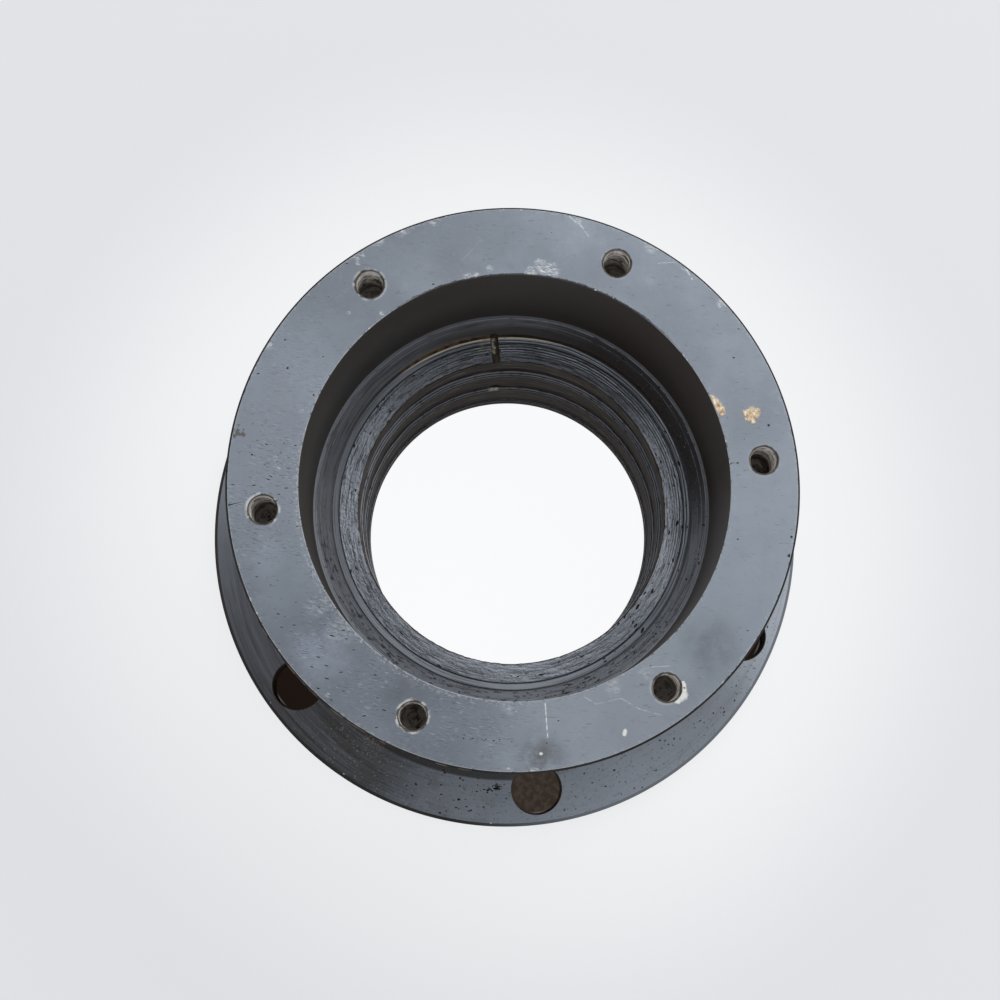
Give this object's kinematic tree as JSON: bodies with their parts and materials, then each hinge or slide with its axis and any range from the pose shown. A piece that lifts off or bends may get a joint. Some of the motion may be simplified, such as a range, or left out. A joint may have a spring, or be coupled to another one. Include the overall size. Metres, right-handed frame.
{
  "type": "pipe flange",
  "caption": "Machined iron pipe flange: a bolting face with tapped holes round a deep stepped counterbore, a grooved bore, a short neck and a wider drilled lower flange.",
  "frame": {"origin": "centre of the bottom face, on the bore's axis", "axes": "+Z along the bore's axis from the lower flange to the counterbored face; +Y towards the lubrication notch of the ledge; +X through a tapped hole"},
  "size_m": [0.368, 0.368, 0.208],
  "materials": {
    "oiled_iron": "turned and oiled, blue-grey, satin, with pits and dark stains"
  },
  "bodies": {
    "root": {"flange_body": "oiled_iron"}
  },
  "joints": []
}
